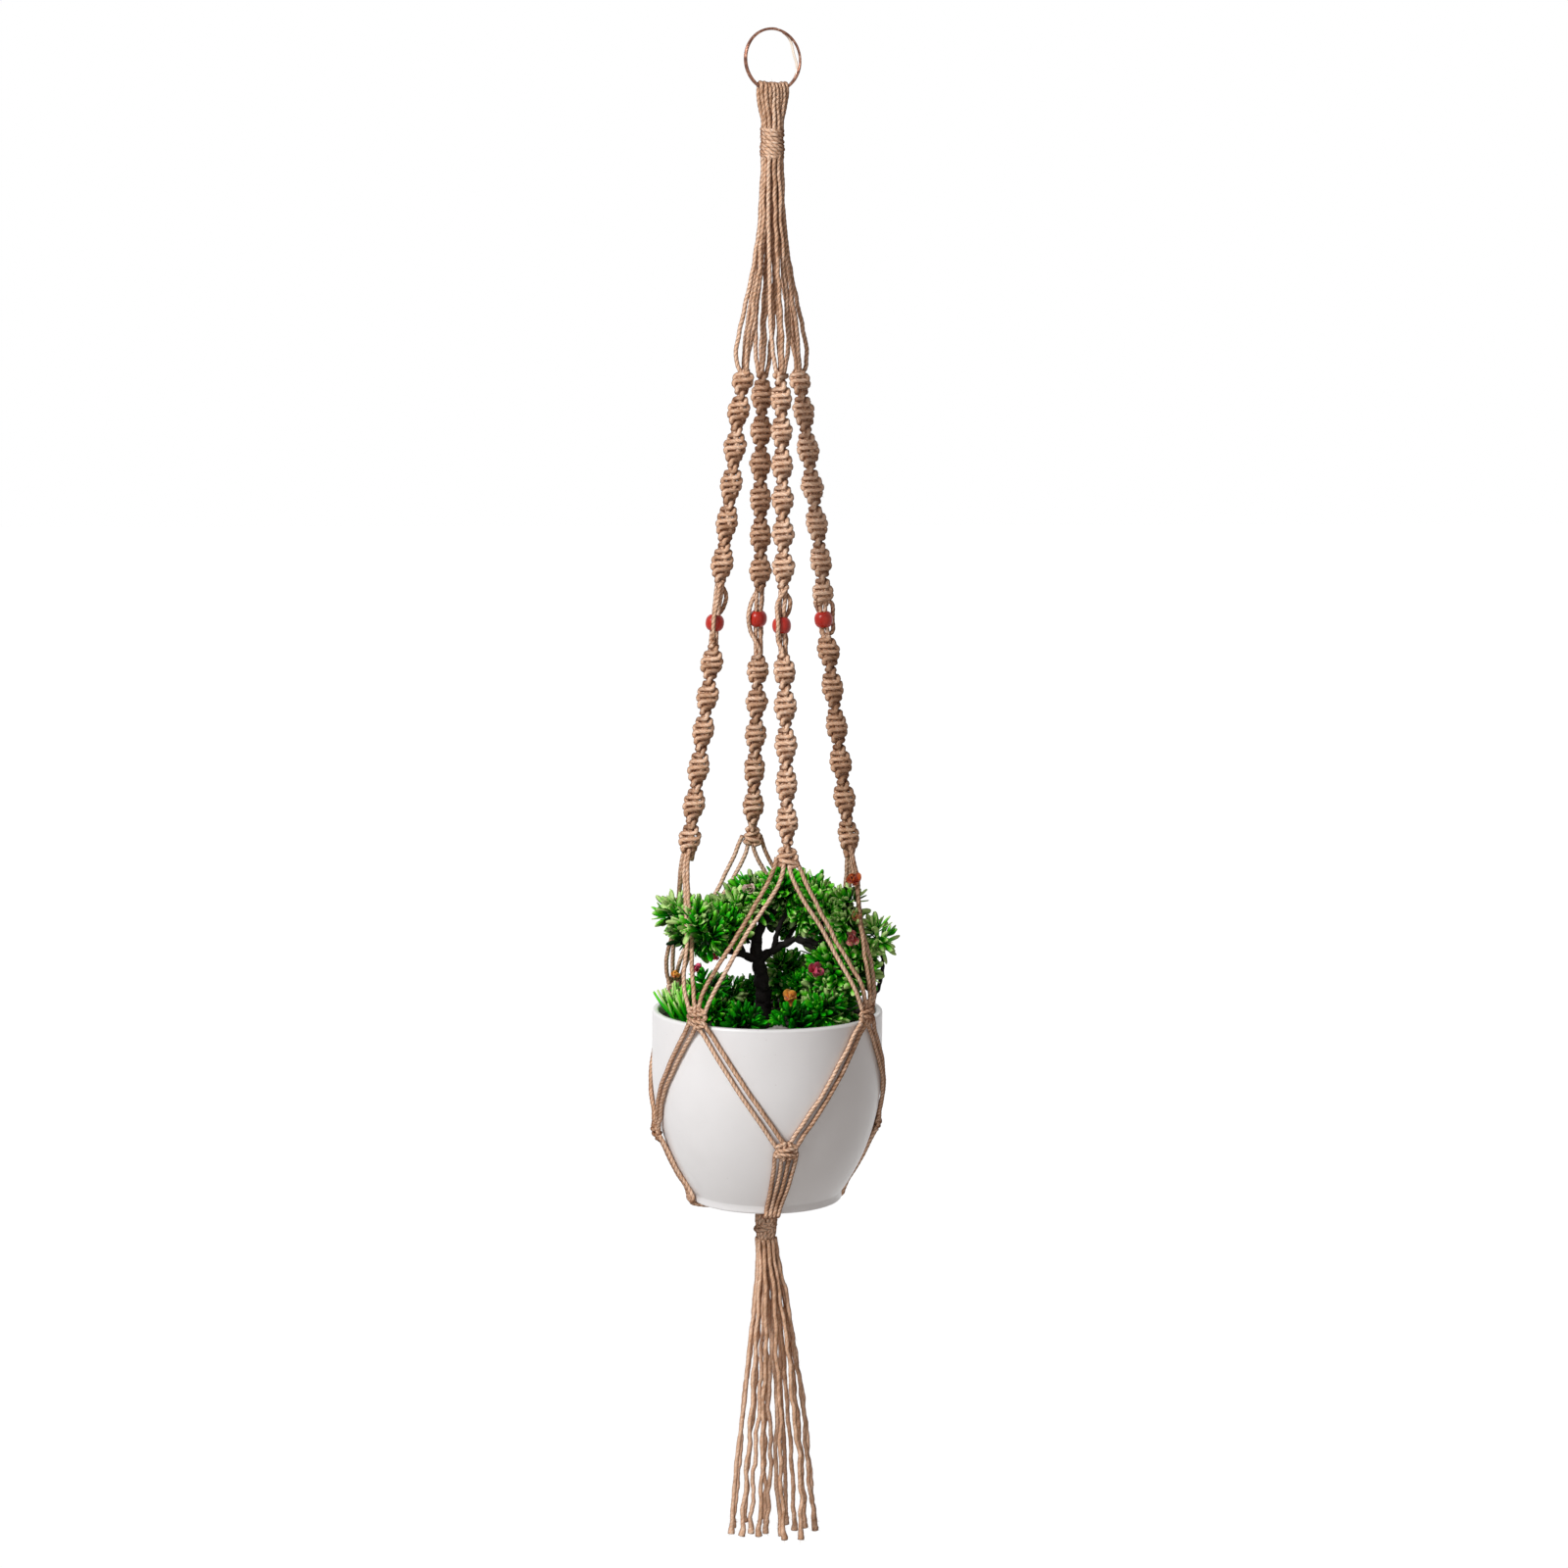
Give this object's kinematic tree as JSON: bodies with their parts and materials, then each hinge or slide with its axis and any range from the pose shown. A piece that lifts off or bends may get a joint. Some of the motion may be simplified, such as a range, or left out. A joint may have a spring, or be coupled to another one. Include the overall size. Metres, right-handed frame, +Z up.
{
  "type": "hanging macrame planter",
  "caption": "Macrame plant hanger knotted from jute cord, with glossy red beads, a tassel and a split ring, holding a rounded white ceramic pot with an artificial bonsai.",
  "frame": {"origin": "the point inside the top of the hanging ring where a hook bears", "axes": "+Z up along the hanger, -Y towards the front arm, +X towards the right arm; the ring's axis lies 15 degrees from Y, towards -X"},
  "size_m": [0.1666, 0.1666, 1.0571],
  "materials": {
    "jute_cord": "fibrous",
    "ring_metal": "polished",
    "red_bead": "gloss",
    "pot_glaze": "satin",
    "soil": "matte",
    "dark_bark": "matte",
    "green_leaves": "satin",
    "petals": "satin"
  },
  "bodies": {
    "ring": {"hanging_ring": "ring_metal"},
    "loops": {"ring_loops": "jute_cord"},
    "head": {"top_wrap_knot": "jute_cord"},
    "carrier": {"arm_cords_front": "jute_cord", "knotted_arm_front": "jute_cord", "side_knot_front": "jute_cord", "cradle_cords_front": "jute_cord", "arm_cords_right": "jute_cord", "knotted_arm_right": "jute_cord", "side_knot_right": "jute_cord", "cradle_cords_right": "jute_cord", "arm_cords_back": "jute_cord", "knotted_arm_back": "jute_cord", "side_knot_back": "jute_cord", "cradle_cords_back": "jute_cord", "arm_cords_left": "jute_cord", "knotted_arm_left": "jute_cord", "side_knot_left": "jute_cord", "cradle_cords_left": "jute_cord", "rim_knot_front_right": "jute_cord", "upper_net_front_right": "jute_cord", "lower_net_front_right": "jute_cord", "rim_knot_back_right": "jute_cord", "upper_net_back_right": "jute_cord", "lower_net_back_right": "jute_cord", "rim_knot_back_left": "jute_cord", "upper_net_back_left": "jute_cord", "lower_net_back_left": "jute_cord", "rim_knot_front_left": "jute_cord", "upper_net_front_left": "jute_cord", "lower_net_front_left": "jute_cord"},
    "pot": {"plant_pot": "pot_glaze", "soil_filling": "soil", "bonsai_trunk": "dark_bark", "foliage": "green_leaves", "ground_leaves": "green_leaves", "grass_tuft": "green_leaves", "flowers": "petals"},
    "tail_knot": {"tail_wrap_knot": "jute_cord"},
    "tassel": {"tail_cord_01": "jute_cord", "tail_cord_02": "jute_cord", "tail_cord_03": "jute_cord", "tail_cord_04": "jute_cord", "tail_cord_05": "jute_cord", "tail_cord_06": "jute_cord", "tail_cord_07": "jute_cord", "tail_cord_08": "jute_cord", "tail_cord_09": "jute_cord", "tail_cord_10": "jute_cord", "tail_cord_11": "jute_cord", "tail_cord_12": "jute_cord", "tail_cord_13": "jute_cord", "tail_cord_14": "jute_cord", "tail_cord_15": "jute_cord", "tail_cord_16": "jute_cord"},
    "bead_front": {"bead_front": "red_bead"},
    "bead_right": {"bead_right": "red_bead"},
    "bead_back": {"bead_back": "red_bead"},
    "bead_left": {"bead_left": "red_bead"}
  },
  "joints": [
    {"name": "ring_sway", "type": "hinge", "parent": "ring", "child": "loops", "pos_m": [0, 0, -0.0194], "axis": [-0.2588, 0.9659, 0], "range_deg": [-45, 45]},
    {"name": "hanger_swing", "type": "hinge", "parent": "loops", "child": "head", "pos_m": [0, 0, -0.0702], "axis": [1, 0, 0], "range_deg": [-35, 35]},
    {"name": "hanger_twist", "type": "hinge", "parent": "head", "child": "carrier", "pos_m": [0, 0, -0.084], "axis": [0, 0, 1], "range_deg": [-90, 90]},
    {"name": "pot_turn", "type": "hinge", "parent": "carrier", "child": "pot", "pos_m": [0, 0, -0.7365], "axis": [0, 0, 1], "continuous": true},
    {"name": "tail_swing", "type": "hinge", "parent": "carrier", "child": "tail_knot", "pos_m": [0, 0, -0.81367], "axis": [1, 0, 0], "range_deg": [-30, 30]},
    {"name": "tassel_sway", "type": "hinge", "parent": "tail_knot", "child": "tassel", "pos_m": [0, 0, -0.82627], "axis": [0, 1, 0], "range_deg": [-40, 40]},
    {"name": "bead_spin_front", "type": "hinge", "parent": "carrier", "child": "bead_front", "pos_m": [0, -0.03825, -0.39798], "axis": [0, -0.113, -0.9936], "continuous": true},
    {"name": "bead_spin_right", "type": "hinge", "parent": "carrier", "child": "bead_right", "pos_m": [0.03825, 0, -0.39798], "axis": [0.113, 0, -0.9936], "continuous": true},
    {"name": "bead_spin_back", "type": "hinge", "parent": "carrier", "child": "bead_back", "pos_m": [0, 0.03825, -0.39798], "axis": [0, 0.113, -0.9936], "continuous": true},
    {"name": "bead_spin_left", "type": "hinge", "parent": "carrier", "child": "bead_left", "pos_m": [-0.03825, 0, -0.39798], "axis": [-0.113, 0, -0.9936], "continuous": true}
  ]
}
